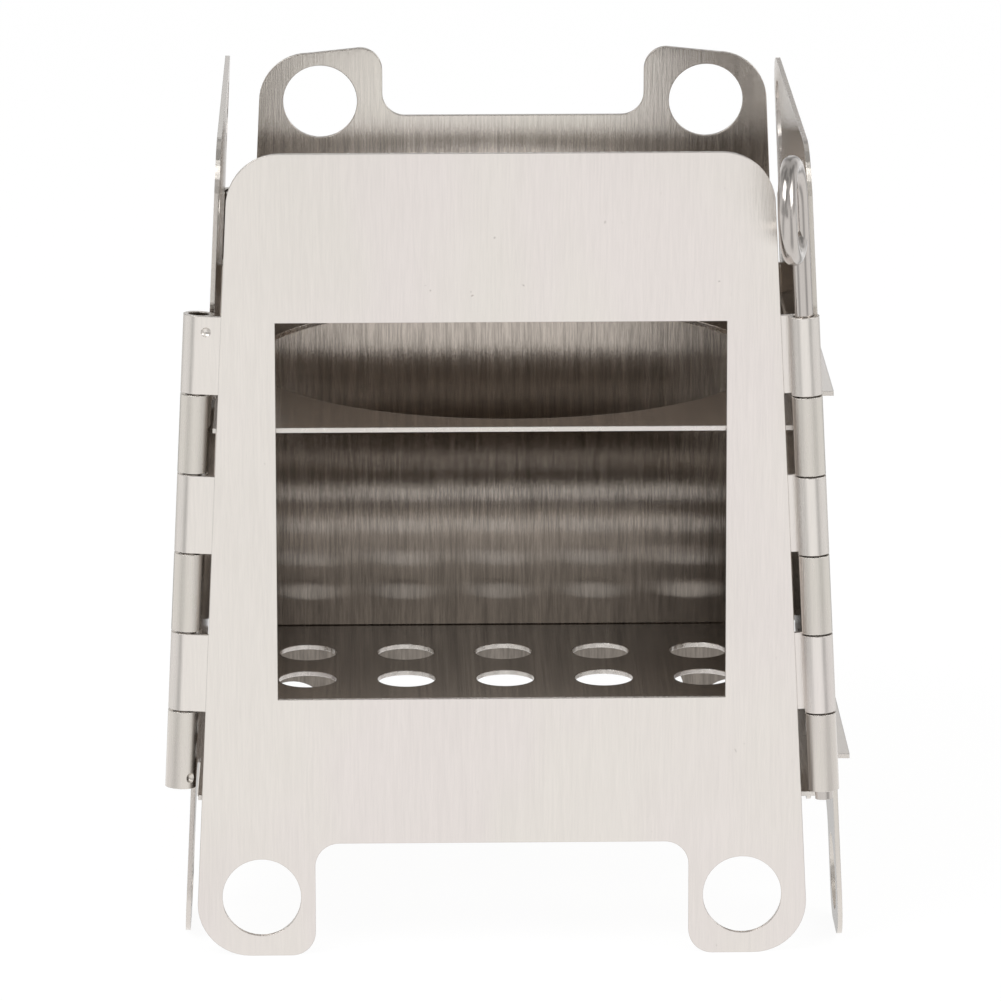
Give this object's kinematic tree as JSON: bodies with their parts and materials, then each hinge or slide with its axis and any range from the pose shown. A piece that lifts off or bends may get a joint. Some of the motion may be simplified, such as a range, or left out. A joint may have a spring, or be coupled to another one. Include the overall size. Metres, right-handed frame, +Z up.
{
  "type": "folding wood stove",
  "caption": "Folding camping wood stove: hinged sheet steel panels that lean inwards, held square by a ring pin, with a pot ring and a fire grate on tabs in slots.",
  "frame": {"origin": "centre of the closed stove's footprint, on the ground under its feet", "axes": "+Z up, +X to the right of the front panel, +Y from the front to the back"},
  "size_m": [0.1453, 0.1564, 0.1702],
  "materials": {
    "steel_front": "satin",
    "steel_side": "satin",
    "steel_back": "satin",
    "steel_wire": "satin",
    "steel_fire": "satin"
  },
  "bodies": {
    "back": {"back_panel": "steel_back", "back_right_hinge_pin": "steel_wire", "pot_ring": "steel_fire", "fire_grate": "steel_fire"},
    "left": {"left_panel": "steel_side", "front_left_hinge_pin": "steel_wire", "back_left_hinge_pin": "steel_wire"},
    "front": {"front_panel": "steel_front"},
    "right": {"right_panel": "steel_side"},
    "ring_pin": {"ring_pin": "steel_wire"}
  },
  "joints": [
    {"name": "left_panel_hinge", "type": "hinge", "parent": "back", "child": "left", "pos_m": [-0.06598, 0.07122, 0], "axis": [-0.049, 0.049, -0.9976], "range_deg": [0, 90]},
    {"name": "front_panel_hinge", "type": "hinge", "parent": "left", "child": "front", "pos_m": [-0.07122, -0.06598, 0], "axis": [-0.049, -0.049, -0.9976], "range_deg": [0, 240]},
    {"name": "right_panel_hinge", "type": "hinge", "parent": "back", "child": "right", "pos_m": [0.07122, 0.06598, 0], "axis": [-0.049, -0.049, 0.9976], "range_deg": [0, 240]},
    {"name": "ring_pin_slide", "type": "slide", "parent": "right", "child": "ring_pin", "axis": [-0.049, 0.049, 0.9976], "range_m": [0, 0.108]}
  ]
}
